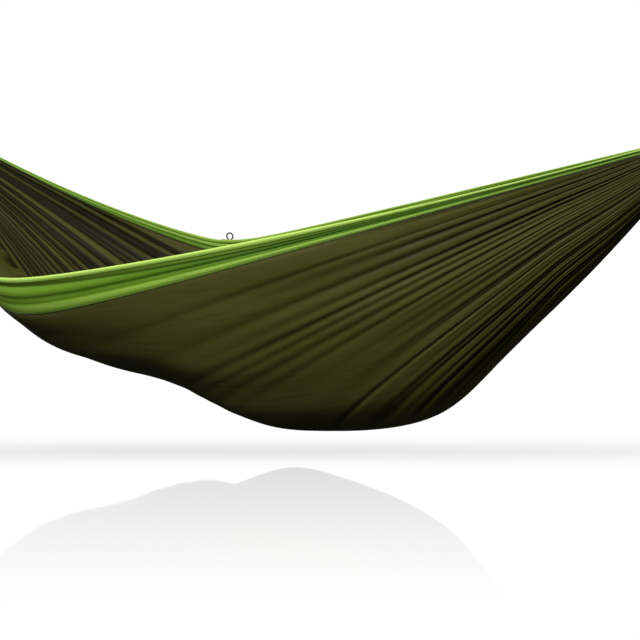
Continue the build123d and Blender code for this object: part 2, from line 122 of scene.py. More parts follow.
def piece(name, vertices, faces, material, uv=None, values=None):
    """One smooth mesh object, with an optional UV and named values for each vertex."""
    mesh = bpy.data.meshes.new(name)
    mesh.from_pydata(np.asarray(vertices, float).tolist(), [], faces)
    mesh.polygons.foreach_set("use_smooth", [True] * len(mesh.polygons))
    mesh.materials.append(material)
    if uv is not None:
        corners = np.empty(len(mesh.loops), int)
        mesh.loops.foreach_get("vertex_index", corners)
        layer = mesh.uv_layers.new(name="cloth")
        layer.data.foreach_set("uv", np.asarray(uv, np.float32)[corners].ravel())
    for key, value in (values or {}).items():
        attribute = mesh.attributes.new(key, "FLOAT", "POINT")
        attribute.data.foreach_set("value", np.asarray(value, np.float32).ravel())
    mesh.update()
    return new_object(name, mesh)


def grid_faces(rows, columns, ring=False, start=0):
    """Quads of a rows by columns grid of vertices; ring closes the columns on themselves."""
    r = np.arange(rows - 1)[:, None]
    c = np.arange(columns if ring else columns - 1)[None, :]
    d = (c + 1) % columns
    corners = [r * columns + c, r * columns + d, (r + 1) * columns + d, (r + 1) * columns + c]
    return (np.stack(np.broadcast_arrays(*corners), -1).reshape(-1, 4) + start).tolist()


def attach(obj, body, node):
    """Makes a piece ride on a body, in the place of a CAD node, which it hides."""
    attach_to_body(obj, body)
    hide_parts(node)


def evenly(points, step, closed=False):
    """The polyline's points resampled about step apart."""
    points = np.asarray(points, float)
    if closed:
        points = np.vstack([points, points[:1]])
    walked = walk(points)
    count = max(2, round(walked[-1] / step))
    places = np.linspace(0, walked[-1], count, endpoint=not closed)
    return np.stack([np.interp(places, walked, points[:, k]) for k in range(3)], 1)


# ---- materials
class Nodes:
    """A short way to write a node tree for one Principled material."""

    def __init__(self, name):
        self.material = bpy.data.materials.new(name)
        self.material.use_nodes = True
        self.tree = self.material.node_tree
        self.shader = self.tree.nodes["Principled BSDF"]

    def add(self, kind, **settings):
        """A new node; each setting is a value or a link for an input, or else a property."""
        node = self.tree.nodes.new(kind)
        for key, value in settings.items():
            if key not in node.inputs:
                setattr(node, key, value)
            elif isinstance(value, bpy.types.NodeSocket):
                self.tree.links.new(value, node.inputs[key])
            else:
                node.inputs[key].default_value = value
        return node

    def feed(self, socket, value):
        """Sets a socket to a number or a colour, or links an output to it."""
        if isinstance(value, (int, float)):
            socket.default_value = value
        elif isinstance(value, tuple):
            socket.default_value = (*value, 1.0)
        else:
            self.tree.links.new(value, socket)

    def math(self, operation, first, second=0.0, clamp=False):
        node = self.add("ShaderNodeMath", operation=operation, use_clamp=clamp)
        self.feed(node.inputs[0], first)
        self.feed(node.inputs[1], second)
        return node.outputs[0]

    def above(self, value, low, gain):
        """How far a value is above low, times gain, kept between 0 and 1."""
        return self.math("MULTIPLY", self.math("SUBTRACT", value, low), gain, clamp=True)

    def mix(self, factor, first, second):
        node = self.add("ShaderNodeMix", data_type="RGBA")
        self.feed(node.inputs[0], factor)
        self.feed(node.inputs[6], first)
        self.feed(node.inputs[7], second)
        return node.outputs[2]

    def coordinates(self, output, scale=(1, 1, 1)):
        source = self.add("ShaderNodeTexCoord").outputs[output]
        return self.add("ShaderNodeMapping", Vector=source, Scale=scale).outputs[0]

    def noise(self, vector, scale, detail=3.0, roughness=0.55):
        settings = {"Vector": vector, "Scale": scale, "Detail": detail, "Roughness": roughness}
        return self.add("ShaderNodeTexNoise", **settings).outputs["Fac"]

    def wave(self, vector, scale, direction, distortion=0.0):
        settings = {"Vector": vector, "Scale": scale, "Distortion": distortion}
        return self.add("ShaderNodeTexWave", bands_direction=direction, **settings).outputs["Fac"]

    def attribute(self, name):
        return self.add("ShaderNodeAttribute", attribute_name=name).outputs["Fac"]

    def bump(self, height, strength, distance, below=None):
        node = self.add("ShaderNodeBump", Height=height, Strength=strength, Distance=distance)
        if below is not None:
            self.feed(node.inputs["Normal"], below)
        return node.outputs["Normal"]

    def finish(self, color, roughness, normal, **inputs):
        self.feed(self.shader.inputs["Base Color"], color)
        self.feed(self.shader.inputs["Roughness"], roughness)
        self.feed(self.shader.inputs["Normal"], normal)
        for key, value in inputs.items():
            self.shader.inputs[key.replace("_", " ")].default_value = value
        return self.material


def nylon(name, deep, body, highlight_and_pale, sheen):
    """Parachute nylon: plain weave with a ripstop grid, crinkles, and painted shade and highlights that follow its
    folds.

    The cloth's UV is in metres: u across the hammock, v along it. The per-vertex fold value paints light: 0 is
    painted shade in a crease, 0.5 the plain colour and 1 a painted highlight on a ridge.
    """
    n = Nodes(name)
    cloth = n.coordinates("UV")
    fold = n.attribute("fold")
    crinkle = n.noise(n.coordinates("UV", (55, 5, 1)), 1.0, 5.0, 0.6)
    patches = n.noise(n.coordinates("UV", (2.6, 1.3, 1)), 1.0, 2.0)
    warp = n.wave(cloth, 900, "X")
    weft = n.wave(cloth, 900, "Y")
    grid_u = n.math("GREATER_THAN", n.wave(cloth, 60, "X"), 0.97)
    grid_v = n.math("GREATER_THAN", n.wave(cloth, 60, "Y"), 0.97)
    grid = n.math("MAXIMUM", grid_u, grid_v)

    # Painted shade in the creases and a painted highlight on the ridges, both from the per-vertex fold value.
    shade = n.mix(n.math("MULTIPLY", fold, 2.0, clamp=True), deep, body)
    lit = n.math("SUBTRACT", n.math("MULTIPLY", fold, 2.0), 1.0, clamp=True)
    shade = n.mix(lit, shade, highlight_and_pale)
    shade = n.mix(n.above(patches, 0.5, 0.8), shade, highlight_and_pale)
    # Painted shade in the hollows of the crinkles.
    darker = n.math("MULTIPLY", n.math("SUBTRACT", 0.47, crinkle), 1.4, clamp=True)
    shade = n.mix(darker, shade, deep)
    shade = n.mix(n.math("MULTIPLY", grid, 0.06), shade, highlight_and_pale)

    rough = n.math("ADD", 0.42, n.math("MULTIPLY", crinkle, 0.2))
    weave = n.math("ADD", n.math("MULTIPLY", warp, weft), n.math("MULTIPLY", grid, 0.5))
    normal = n.bump(weave, 0.3, 0.00015)
    normal = n.bump(crinkle, 0.35, 0.002, normal)
    return n.finish(
        shade,
        rough,
        normal,
        Specular_IOR_Level=0.07,
        Sheen_Weight=sheen,
        Sheen_Roughness=0.4,
        Sheen_Tint=(*highlight_and_pale, 1.0),
    )


def thread_material(name, color):
    """Sewing thread, with painted shade between the turns of its twist."""
    n = Nodes(name)
    twist = n.wave(n.coordinates("Object"), 420, "DIAGONAL", 1.0)
    # The darker colour is painted shade for the grooves between the turns.
    dull = tuple(0.45 * c for c in color)
    return n.finish(n.mix(twist, dull, color), 0.55, n.bump(twist, 0.6, 0.0003), Sheen_Weight=0.2)


def cord_material(name, color, fleck):
    """Braided cord: fleck marks single strands, and wear pales the high spots."""
    n = Nodes(name)
    fine = n.noise(n.coordinates("Object"), 900.0, 3.0)
    worn = n.noise(n.coordinates("Object"), 55.0, 3.0)
    shade = n.mix(n.math("MULTIPLY", n.attribute("fleck"), 0.8), color, fleck)
    shade = n.mix(n.above(worn, 0.5, 1.0), shade, fleck)
    return n.finish(shade, 0.7, n.bump(fine, 0.5, 0.0003), Specular_IOR_Level=0.15, Sheen_Weight=0.04)


def steel_material(name, color, rough):
    """Steel with fine scratches one way and a faint stain."""
    n = Nodes(name)
    scratches = n.noise(n.coordinates("Object", (60, 900, 60)), 1.0, 4.0)
    stain = n.noise(n.coordinates("Object"), 130.0, 4.0)
    shade = n.mix(n.math("MULTIPLY", stain, 0.5), color, tuple(0.55 * c for c in color))
    polish = n.math("ADD", rough, n.math("MULTIPLY", scratches, 0.22))
    return n.finish(shade, polish, n.bump(scratches, 0.06, 0.0001), Metallic=1.0)


def plastic_material(name, color):
    """Moulded plastic with a fine grain and paler scuffs."""
    n = Nodes(name)
    grain = n.noise(n.coordinates("Object"), 1400.0, 2.0)
    scuff = n.noise(n.coordinates("Object"), 90.0, 4.0)
    pale = tuple(2.6 * c for c in color)
    shade = n.mix(n.above(scuff, 0.5, 0.9), color, pale)
    polish = n.math("ADD", 0.42, n.math("MULTIPLY", scuff, 0.2))
    return n.finish(shade, polish, n.bump(grain, 0.3, 0.0002))


# Each cloth's painted shade for creases and crinkle hollows, its plain colour, and a paler colour for painted
# highlights on ridges, random pale patches and the ripstop grid.
OLIVE_PAINTED_SHADE = (0.0055, 0.0048, 0.0004)
OLIVE = (0.0490, 0.0485, 0.0095)
OLIVE_HIGHLIGHT_AND_PALE = (0.0830, 0.0830, 0.0240)
GREEN_PAINTED_SHADE = (0.0130, 0.0520, 0.0005)
GREEN = (0.1150, 0.2300, 0.0150)
GREEN_HIGHLIGHT_AND_PALE = (0.3700, 0.5400, 0.1100)

MATERIALS = {
    "olive_nylon": nylon("olive_nylon", OLIVE_PAINTED_SHADE, OLIVE, OLIVE_HIGHLIGHT_AND_PALE, 0.02),
    "green_nylon": nylon("green_nylon", GREEN_PAINTED_SHADE, GREEN, GREEN_HIGHLIGHT_AND_PALE, 0.10),
    "olive_thread": thread_material("olive_thread", (0.095, 0.105, 0.040)),
    "green_thread": thread_material("green_thread", (0.24, 0.44, 0.07)),
    "black_cord": cord_material("black_cord", (0.006, 0.006, 0.007), (0.026, 0.026, 0.024)),
    "steel": steel_material("steel", (0.62, 0.63, 0.64), 0.22),
    "spring_steel": steel_material("spring_steel", (0.42, 0.42, 0.43), 0.3),
    "black_plastic": plastic_material("black_plastic", (0.014, 0.014, 0.015)),
}


# ---- the cloth's rails, from the CAD
def mesh_edges(node):
    """The start and end points of a CAD node's mesh edges."""
    mesh = frame["nodes"][node].data
    points = np.empty(len(mesh.vertices) * 3)
    mesh.vertices.foreach_get("co", points)
    points = points.reshape(-1, 3)
    ends = np.empty(len(mesh.edges) * 2, int)
    mesh.edges.foreach_get("vertices", ends)
    ends = ends.reshape(-1, 2)
    return points[ends[:, 0]], points[ends[:, 1]]


def cut(edges, x):
    """Where a CAD node's mesh crosses the plane at x: an array of y, z."""
    start, end = edges
    crossing = (start[:, 0] - x) * (end[:, 0] - x) < 0
    a = start[crossing]
    b = end[crossing]
    t = ((x - a[:, 0]) / (b[:, 0] - a[:, 0]))[:, None]
    return (a + t * (b - a))[:, 1:]


def settle(values, passes=2):
    """Evens out the CAD mesh's facets along the rows, keeping both ends in place."""
    for _ in range(passes):
        inner = 0.25 * values[:-2] + 0.5 * values[1:-1] + 0.25 * values[2:]
        values = np.concatenate([values[:1], inner, values[-1:]])
    return values


def read_rails():
    """Rows of x with both rims, both seams and the keel of the CAD cloth there."""
    near = mesh_edges("near_side_panel")
    far = mesh_edges("far_side_panel")
    center = mesh_edges("center_panel")
    low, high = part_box("center_panel")
    inset = 0.0005
    rows = np.linspace(low.x + inset, high.x - inset, ROWS)
    rails = {"near_rim": [], "near_seam": [], "far_rim": [], "far_seam": [], "keel": []}
    for x in rows:
        for side, edges in (("near", near), ("far", far)):
            section = cut(edges, x)
            rails[side + "_rim"].append(section[section[:, 1].argmax()])
            rails[side + "_seam"].append(section[section[:, 1].argmin()])
        section = cut(center, x)
        rails["keel"].append(section[section[:, 1].argmin()])
    return rows, {name: settle(np.array(points)) for name, points in rails.items()}


class Sheet:
    """The smooth cloth surface: a cubic section hung from both edges at every row."""

    STEPS = 500
    STRIDE = 0.004  # measures the cloth's direction

    def __init__(self):
        self.x, rails = read_rails()
        self.from_middle = self.x - (self.x[0] + self.x[-1]) / 2
        near, far = rails["near_rim"], rails["far_rim"]
        deep = (8 * rails["keel"][:, 1] - near[:, 1] - far[:, 1]) / 6
        u = np.linspace(0, 1, self.STEPS)[None, :, None]
        turn_near = np.stack([FLANK * near[:, 0], deep], 1)[:, None]
        turn_far = np.stack([FLANK * far[:, 0], deep], 1)[:, None]
        self.curve = (
            (1 - u) ** 3 * near[:, None]
            + 3 * u * (1 - u) ** 2 * turn_near
            + 3 * u * u * (1 - u) * turn_far
            + u**3 * far[:, None]
        )
        strides = np.linalg.norm(np.diff(self.curve, axis=1), axis=2)
        self.walked = np.concatenate([np.zeros((ROWS, 1)), np.cumsum(strides, axis=1)], axis=1)
        self.length = self.walked[:, -1:]
        self.near_band = np.linalg.norm(rails["near_seam"] - near, axis=1)[:, None]
        self.far_band = np.linalg.norm(rails["far_seam"] - far, axis=1)[:, None]

    def on_curve(self, r, distance):
        y = np.interp(distance, self.walked[r], self.curve[r, :, 0])
        z = np.interp(distance, self.walked[r], self.curve[r, :, 1])
        return np.stack([y, z], -1)

    def place(self, distance, rise):
        """Points at a distance from the near edge in each row, raised outwards by rise.

        Both are arrays of rows by columns. Distances past an edge run on straight beyond it.
        """
        points = np.empty(distance.shape + (3,))
        for r in range(ROWS):
            here = self.on_curve(r, distance[r])
            ahead = self.on_curve(r, distance[r] + self.STRIDE)
            behind = self.on_curve(r, distance[r] - self.STRIDE)
            along = unit(ahead - behind)
            past = np.minimum(distance[r], 0) + np.maximum(distance[r] - self.length[r], 0)
            points[r, :, 0] = self.x[r]
            points[r, :, 1] = here[:, 0] + along[:, 0] * past + along[:, 1] * rise[r]
            points[r, :, 2] = here[:, 1] + along[:, 1] * past - along[:, 0] * rise[r]
        return points


sheet = Sheet()
HALF_LENGTH = sheet.from_middle[-1]
from_middle = sheet.from_middle[:, None]


# ---- pleats
FAN_ROW = 0.45  # the row, measured from the cloth's end, where a fan's creases are spread evenly
FAN_START = (0.04, 0.30)  # between these the gathered cloth opens out into the straight fan
CREASE_DEPTH = 0.0095
FAR_SIGHT = (math.radians(30), math.radians(10))  # lean and pitch that show far creases straight

# The shortest and longest run of each end's main creases from its sleeve: near side, then far side.
CREASE_REACH = {"right": ((0.85, 1.75), (0.6, 1.3)), "left": ((0.35, 0.85), (1.0, 1.6))}


def run_from(side):
    """Each row's distance from one end of the cloth."""
    return HALF_LENGTH - SIDES[side] * from_middle


def seen_slope(points, side, lean, pitch):
    """How steeply each point lies below one end's gather, looking across the hammock.

    lean turns the line of sight towards that end and pitch lifts it; both zero is a side view.
    """
    end = SIDES[side]
    apex = np.array(joints[f"{side}_loop_pitch"]["pos_m"])
    level = np.array([-end * math.cos(lean), math.sin(lean), 0])
    rising = np.array(
        [end * math.sin(pitch) * math.sin(lean), math.sin(pitch) * math.cos(lean), math.cos(pitch)]
    )
    return -((points - apex) @ rising) / ((points - apex) @ level)


def steepest(slopes, lowest, from_end):
    """The keel's slope in each row, never less than in the rows before it from the fan's start."""
    keel = np.take_along_axis(slopes, lowest, 1)
    order = from_end[:, 0].argsort()
    ordered = keel[order, 0]
    first = np.searchsorted(from_end[order, 0], FAN_START[1])
    ordered[first:] = np.maximum.accumulate(ordered[first:])
    keel[order, 0] = ordered
    return keel


def fan(points, across, side):
    """Where each point lies in the fan of straight creases that leaves one end's gather.

    It runs from 0 at the near edge through 0.5 at the keel to 1 at the far edge. Near creases are
    straight in a side view, far ones when looking in over the near edge.
    """
    from_end = run_from(side)
    row = int(np.abs(from_end[:, 0] - FAN_ROW).argmin())
    lowest = points[..., 2].argmin(1)[:, None]
    side_view = seen_slope(points, side, 0.0, 0.0)
    over_edge = seen_slope(points, side, *FAR_SIGHT)
    near_rim, near_keel = side_view[row, 0], steepest(side_view, lowest, from_end)
    far_rim, far_keel = over_edge[row, -1], steepest(over_edge, lowest, from_end)
    near_share = 0.5 * (side_view - near_rim) / (near_keel - near_rim)
    far_share = 1 - 0.5 * (over_edge - far_rim) / (far_keel - far_rim)
    near_half = np.arange(across.shape[1])[None, :] <= lowest
    spread = np.where(near_half, near_share, far_share)
    return across + (spread - across) * smoothstep(*FAN_START, from_end)


def creases(spread, rng, side, count, reach, width, depth):
    """Creases that fan out from one end: 0 on the open cloth, 1 in the deepest crease.

    reach, width and depth are each a lowest and a highest value; reach is a crease's run from its
    sleeve, and width a share of the creases' spacing.
    """
    from_end = run_from(side)
    total = np.zeros_like(spread)
    for i in range(count):
        center = (i + 0.5 + rng.uniform(-0.34, 0.34)) / count
        narrow = rng.uniform(*width) / count
        deep = rng.uniform(*depth)
        run = rng.uniform(*reach)
        bow = 0.10 / count * np.sin(from_end / 0.5 + rng.uniform(0, 2 * math.pi))
        fade = 1 - smoothstep(0.45 * run, run, from_end)
        half = 2.2 * narrow * (1 + 1.2 * smoothstep(0.4 * run, run, from_end))
        away = np.hypot(spread - center - bow, 0.15 * half)
        total += deep * fade * np.clip(1 - away / half, 0, 1) ** 2
    return np.minimum(total, 1.0)


def pleats(points, across):
    """Rise of the centre cloth's pleats, and the fold value that paints their shade and highlights.

    The creases sink inwards on the near side and outwards on the far side, so that both the outside
    of the near half and the inside of the far half show broad ridges between narrow creases.
    """
    rng = np.random.default_rng(11)
    near_half = 1 - smoothstep(0.46, 0.54, across)
    at_keel = 1 - np.abs(2 * across - 1)
    crease = np.zeros_like(across)
    for side, (near_reach, far_reach) in CREASE_REACH.items():
        spread = fan(points, across, side)
        near_creases = creases(spread, rng, side, 44, near_reach, (0.16, 0.30), (0.45, 0.95))
        near_creases += 0.5 * creases(spread, rng, side, 90, (0.30, 0.90), (0.15, 0.30), (0.4, 1.0))
        far_creases = creases(spread, rng, side, 46, far_reach, (0.24, 0.38), (0.75, 1.0))
        far_creases += 0.5 * creases(spread, rng, side, 96, (0.40, 1.05), (0.15, 0.30), (0.4, 1.0))
        from_end = run_from(side)
        keep = 1 - smoothstep(0.35, 0.75, from_end) * smoothstep(0.80, 0.96, at_keel)
        if side == "left":
            # Its near creases die out well before the keel, where they would turn back.
            near_creases *= 1 - smoothstep(0.12, 0.35, from_end) * smoothstep(0.45, 0.80, at_keel)
        crease += keep * (near_half * near_creases + (1 - near_half) * far_creases)
    crease = np.minimum(crease, 1.2)
    depth = np.minimum(0.012 * sheet.length, CREASE_DEPTH)
    rise = -crease * depth * (2 * near_half - 1)

    from_nearer_end = HALF_LENGTH - np.abs(from_middle)
    slack = 0.0035 * smoothstep(0.4, 1.0, from_nearer_end)
    rolls = np.sin(2 * math.pi * (across * 6.3 + from_middle * 0.35))
    rolls = rolls + 0.7 * np.sin(2 * math.pi * (across * 9.1 - from_middle * 0.45) + 1.3)
    # Painted light: the near half's outside lighter than the far half's inside, a painted highlight on the rolls,
    # and painted shade in the creases, deeper on the far half.
    fold = 0.52 + 0.06 * near_half + 0.06 * rolls - 0.66 * crease * (1.6 - 0.6 * near_half)
    return rise + slack * 0.5 * rolls, np.clip(fold, 0, 1)


def cloth_piece(name, distance, rise, fold, cloth, node, thickness=0.0):
    """One sewn cloth from its distances and heights on the sheet."""
    points = sheet.place(distance, rise)
    rows, columns = distance.shape
    across = distance / sheet.length * CLOTH_WIDTH
    along = np.broadcast_to(sheet.x[:, None] * 1.1, distance.shape)
    uv = np.stack([across, along], -1).reshape(-1, 2)
    faces = grid_faces(rows, columns)
    obj = piece(name, points.reshape(-1, 3), faces, MATERIALS[cloth], uv, {"fold": fold})
    if thickness:
        modifier = obj.modifiers.new("thickness", "SOLIDIFY")
        modifier.thickness = thickness
        modifier.offset = 0.0
    attach(obj, "hammock", node)


def make_center():
    """The pleated middle cloth, from under one side cloth to under the other."""
    start = sheet.near_band - LAP
    stop = sheet.length - sheet.far_band + LAP
    distance = start + (stop - start) * np.linspace(0, 1, CENTER_COLUMNS)[None, :]
    flat = sheet.place(distance, np.zeros_like(distance))
    rise, fold = pleats(flat, distance / sheet.length)
    # The seams hold the cloth flat, and it runs on inside the side cloths there.
    from_seam = np.minimum(distance - start, stop - distance) - LAP
    hold = smoothstep(0.0, 0.014, from_seam)
    under = 0.0012 * (1 - smoothstep(-0.002, 0.002, from_seam))
    rise = rise * hold - under
    # Painted shade along the seams and where the cloth runs under the side cloths.
    fold = fold * (0.35 + 0.65 * smoothstep(0.0, 0.006, from_seam))
    cloth_piece("center_cloth", distance, rise, fold, "olive_nylon", "center_panel")


# The hem's outline across the cloth, from the inner side round the edge to the outer side: distance in from the
# edge as a share of the hem's width, height in millimetres, and fold value, which paints a highlight on the rolled
# edge and shade on its inner side and in the groove where it meets the open cloth.
HEM_OUTLINE = [
    (1.00, -2.2, 0.30),
    (0.72, -3.0, 0.50),
    (0.40, -3.1, 0.60),
    (0.12, -2.5, 0.80),
    (-0.04, -1.1, 1.00),
    (0.02, 0.7, 1.00),
    (0.20, 1.6, 0.95),
    (0.45, 1.9, 0.75),
    (0.75, 1.6, 0.50),
    (0.95, 0.6, 0.05),
]

# Lengthwise creases of the side cloths: place and width as shares of the open cloth, depth and phase.
NEAR_CREASES = [(0.16, 0.10, 0.9, 0.3), (0.43, 0.09, 1.0, 1.9), (0.66, 0.05, 0.5, 4.0)]
FAR_CREASES = [(0.34, 0.13, 1.0, 2.4), (0.80, 0.08, 0.6, 0.8)]


def hem_share(band):
    """How wide the hem is along a side cloth, as a share of its full width."""
    return np.clip(band / HEM_FULL_BAND, HEM_LEAST, 1.0)


def band_creases(open_share, layout):
    """Rise and fold value of a side cloth below its hem: rolls between wandering lengthwise creases, with painted
    shade in the creases.
    """
    rise = np.zeros_like(open_share)
    # Lighter and darker bands across the cloth, wandering along it.
    fold = 0.62 + 0.16 * np.sin(9.0 * open_share + 1.7 * from_middle + 0.8)
    for center, width, depth, phase in layout:
        drift = 0.040 * np.sin(from_middle * 2.1 + phase) + 0.018 * np.sin(from_middle * 5.7 + 2 * phase)
        strength = depth * (0.70 + 0.30 * np.sin(from_middle * 1.9 + 3 * phase))
        away = np.abs(open_share - center - drift)
        dent = strength * np.exp(-np.sqrt(away**2 + 0.012**2) / width)
        rise -= dent
        # Painted shade in each crease.
        fold -= 0.80 * dent
    return rise, np.clip(fold, 0, 1)


def make_band(name, node, band, layout, near):
    """A side cloth from its rolled hem down to its seam with the centre cloth."""
    share = hem_share(band)
    hem = HEM * share
    outline = np.array(HEM_OUTLINE)
    hem_in = outline[None, :, 0] * HEM * share
    hem_up = outline[None, :, 1] / 1000 * share
    hem_painted_light = np.broadcast_to(outline[None, :, 2], hem_in.shape)
    open_share = np.linspace(0, 1, BAND_COLUMNS)[None, :] * np.ones_like(band)
    open_in = hem + (band - hem) * open_share
    dents, open_painted_light = band_creases(open_share, layout)
    flat_at_seam = 1 - smoothstep(0.86, 0.97, open_share)
    open_up = dents * np.minimum(0.10 * band, 0.0100) * smoothstep(0.0, 0.06, open_share) * flat_at_seam
    # Painted shade towards the seam.
    open_painted_light = open_painted_light * (1 - 0.45 * smoothstep(0.70, 1.0, open_share))
    distance = np.concatenate([hem_in, open_in], axis=1)
    rise = np.concatenate([hem_up, open_up], axis=1)
    fold = np.concatenate([hem_painted_light, open_painted_light], axis=1)
    if not near:
        distance = (sheet.length - distance)[:, ::-1]
        rise = rise[:, ::-1]
        fold = fold[:, ::-1]
    cloth_piece(name, distance, rise, fold, "green_nylon", node, THICK_CLOTH)


make_center()
make_band("near_side_cloth", "near_side_panel", sheet.near_band, NEAR_CREASES, True)
make_band("far_side_cloth", "far_side_panel", sheet.far_band, FAR_CREASES, False)


# ---- stitching
# One stitch is four rings of four points: where each ring stands, as a share of the stitch's length,
# how thick it is, and its points across and up, as shares of the thread's width.
STITCH_ENDS = (-0.5, -0.25, 0.25, 0.5)
STITCH_SWELL = (0.25, 1.0, 1.0, 0.25)
STITCH_RING = ((-0.5, -0.1), (-0.3, 0.5), (0.3, 0.5), (0.5, -0.1))

SEAM_ROWS = (0.0030, 0.0072)  # the two rows of a seam on the side cloth, in from its edge
SEAM_UNDER_ROW = 0.0040  # the third row, on the middle cloth, beyond that edge
HEM_ROW = 0.72  # the hem's row, as a share of the hem's width


def stitches(lines, closed=False):
    """Vertices and faces of dashes along (points, outward directions) lines."""
    vertices, faces = [], []
    for points, outward in lines:
        places = evenly(points, STITCH_PITCH, closed)
        nearest = ((places[:, None] - points[None]) ** 2).sum(-1).argmin(1)
        up = unit(outward[nearest])
        heading = unit(np.roll(places, -1, 0) - np.roll(places, 1, 0))
        if not closed:
            heading[0], heading[-1] = heading[1], heading[-2]
        side = np.cross(heading, up)
        for middle, along, aside, out in zip(places, heading, side, up):
            start = len(vertices)
            for end, swell in zip(STITCH_ENDS, STITCH_SWELL):
                for across, high in STITCH_RING:
                    ring_point = (aside * across + out * high) * THREAD_WIDTH * swell
                    vertices.append(middle + along * end * STITCH + ring_point)
            faces.extend(grid_faces(len(STITCH_ENDS), len(STITCH_RING), True, start))
    return vertices, faces


def stitch_row(distance, rise):
    """A line for stitches on the sheet, at one distance from the near edge in each row."""
    wide = np.ones((ROWS, 1))
    points = sheet.place(distance * wide, rise * wide)[:, 0]
    outward = sheet.place(distance * wide, (rise + 0.01) * wide)[:, 0] - points
    return points[2:-2], outward[2:-2]


def make_thread(name, node, thread, lines, closed=False):
    """All the stitches of one thread, as one piece."""
    vertices, faces = stitches(lines, closed)
    obj = piece(name, vertices, faces, MATERIALS[thread])
    attach(obj, "hammock", node)


def make_threads():
    """The threads along both seams and both hems."""
    for side, band in (("near", sheet.near_band), ("far", sheet.far_band)):
        share = hem_share(band)
        seam = [(band - inset * share, 0.0007) for inset in SEAM_ROWS]
        seam.append((band + SEAM_UNDER_ROW, 0.0004))
        hem = [(HEM * HEM_ROW * share, 0.0020)]
        for place, thread, rows in (("seam", "olive_thread", seam), ("hem", "green_thread", hem)):
            if side == "far":
                rows = [(sheet.length - distance, rise) for distance, rise in rows]
            lines = [stitch_row(distance, rise) for distance, rise in rows]
            make_thread(f"{side}_{place}_thread", f"{side}_{place}_stitching", thread, lines)


make_threads()


# ---- gathered sleeves
SLEEVE_FROM = -0.0365  # along the pull from the rope's channel
SLEEVE_TO = 0.0135
SLEEVE_SEAMS = (-0.0200, -0.0165)  # where it is sewn shut behind the rope
SLEEVE_WIDE = (0.0340, 0.0235)  # half width at the cloth and at the rope
SLEEVE_HIGH = (0.0300, 0.0115)
SLEEVE_CLOSING = 0.72  # the share of its length after which its tip rounds off
SLEEVE_FOLDS = 26
SLEEVE_FOLD_DEPTH = 0.0030
SLEEVE_SQUARE = 2.6  # its section's roundness: 2 is an ellipse, more is squarer
SLEEVE_GRIP = 0.004  # how far its mouth reaches over the cloth's end, and stands off it
SLEEVE_RINGS = 40
SLEEVE_POINTS = 260
SLEEVE_SEAM_POINTS = 300


class End:
    """One end: its directions along the pull, across it (+Y) and square to both, and its mouth.

    origin is the rope's channel in the sleeve and bearing the place where the rope hangs. mouth is the
    middle and the half size of the sleeve's open end, round the cloth's last row.
    """

    def __init__(self, side):
        self.side = side
        self.origin = np.array(joints[f"{side}_loop_pitch"]["pos_m"])
        self.bearing = np.array(joints[f"{side}_swing"]["pos_m"])
        self.pull = unit(np.array(mounts[f"{side}_hang_point"]["axis"], float))
        self.across = np.array([0.0, 1.0, 0.0])
        self.up = np.cross(self.pull, self.across)
        if self.up[2] < 0:
            self.up = -self.up
        row = 0 if side == "left" else -1
        section = sheet.curve[row]
        low, high = section.min(0), section.max(0)
        inward = -SIDES[side] * SLEEVE_GRIP
        self.mouth = (
            np.array([sheet.x[row] + inward, 0.0, (low[1] + high[1]) / 2]),
            (high - low) / 2 + SLEEVE_GRIP,
        )

    def at(self, along, across, up=0.0):
        """Points at distances from the origin along this end's three directions."""
        return (
            self.origin
            + np.multiply.outer(along, self.pull)
            + np.multiply.outer(across, self.across)
            + np.multiply.outer(up, self.up)
        )


ends = [End(side) for side in SIDES]


def sleeve_surface(end, along, angle, lift=0.0):
    """Points of the puckered sleeve for arrays of places along the pull and angles round it."""
    t = (along - SLEEVE_FROM) / (SLEEVE_TO - SLEEVE_FROM)
    taper = t**0.8
    wide = SLEEVE_WIDE[0] + (SLEEVE_WIDE[1] - SLEEVE_WIDE[0]) * taper
    high = SLEEVE_HIGH[0] + (SLEEVE_HIGH[1] - SLEEVE_HIGH[0]) * taper
    tip = np.clip((t - SLEEVE_CLOSING) / (1 - SLEEVE_CLOSING), 0, 1)
    closing = np.sqrt(1 - tip**2)
    tuck = 0.55 + 0.45 * smoothstep(0.0, 0.06, t)
    phase = 0.5 * np.sin(3 * angle + 40 * along)
    ripple = np.abs(np.sin(SLEEVE_FOLDS / 2 * angle + phase)) ** 0.7
    fold_depth = SLEEVE_FOLD_DEPTH * (1 - 0.55 * t) * closing
    swell = 1 - (1 - ripple) * fold_depth / high
    c, s = np.cos(angle), np.sin(angle)
    square = (np.abs(c) ** SLEEVE_SQUARE + np.abs(s) ** SLEEVE_SQUARE) ** (-1 / SLEEVE_SQUARE)
    y = c * square * wide * swell * closing * tuck + lift * c
    z = s * square * high * swell * closing * tuck + lift * s
    narrow = end.at(along, y, z)
    center, half = end.mouth
    mouth_y = c * square * swell * half[0] + lift * c
    mouth_z = center[2] + s * square * swell * half[1]
    mouth = np.stack([np.full_like(y, center[0]), mouth_y, mouth_z], -1)
    return mouth + (narrow - mouth) * smoothstep(0.0, 0.45, t)[..., None], ripple


